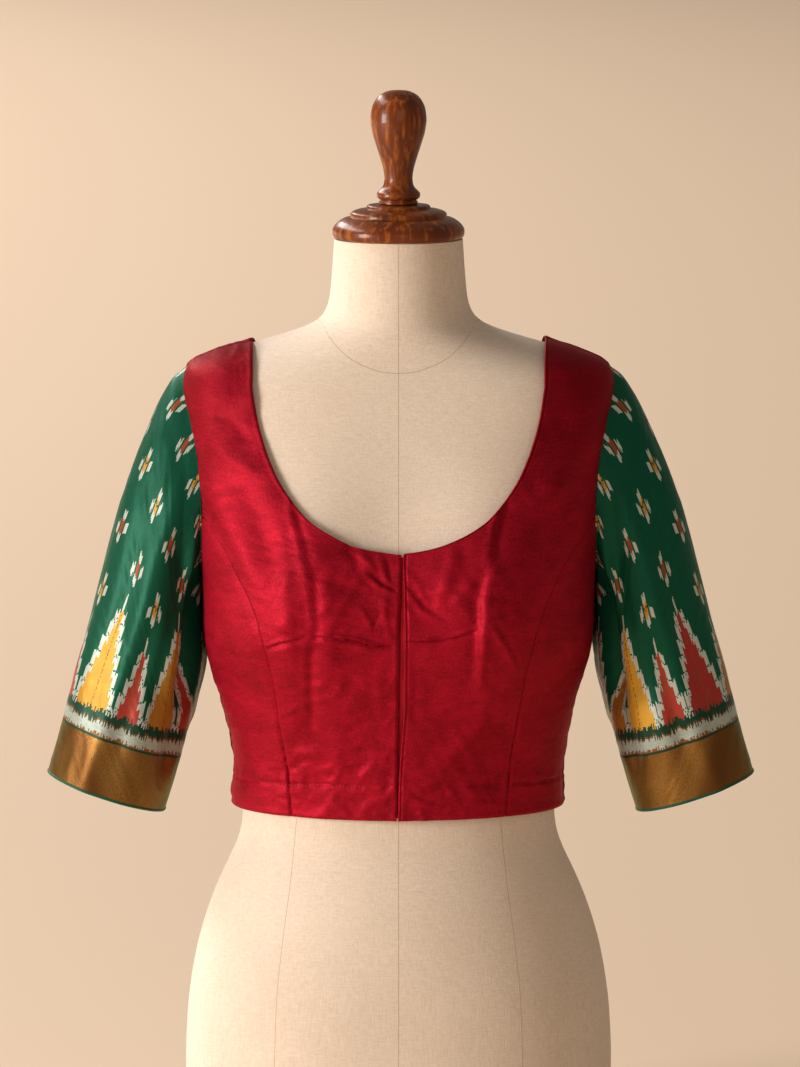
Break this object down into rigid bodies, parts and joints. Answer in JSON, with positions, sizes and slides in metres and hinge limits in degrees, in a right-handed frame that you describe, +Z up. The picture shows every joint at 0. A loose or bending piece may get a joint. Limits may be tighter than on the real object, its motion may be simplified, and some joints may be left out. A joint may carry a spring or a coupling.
{
  "type": "choli blouse on a dress form",
  "caption": "Short fitted front-opening choli blouse with elbow-length flared sleeves, worn by a limbless neck-and-torso dress form with a turned wooden neck cap.",
  "frame": {"origin": "centre of the dress form's flat underside, below the neck", "axes": "+Z up along the body, -Y the way the blouse faces, +X towards the wearer's left"},
  "size_m": [0.5678, 0.2538, 0.8607],
  "materials": {
    "form_linen": "matt",
    "cap_wood": "polished",
    "bodice_satin": "satin",
    "placket_cloth": "matt",
    "sleeve_silk": "satin",
    "cuff_piping": "satin"
  },
  "bodies": {
    "root": {"dress_form": "form_linen", "neck_cap": "cap_wood", "neck_knob": "cap_wood", "front_centre_right": "bodice_satin", "front_centre_left": "bodice_satin", "front_side_right": "bodice_satin", "front_side_left": "bodice_satin", "back": "bodice_satin", "placket": "placket_cloth", "sleeve_right": "sleeve_silk", "sleeve_left": "sleeve_silk", "sleeve_right_piping": "cuff_piping", "sleeve_left_piping": "cuff_piping"}
  },
  "joints": []
}
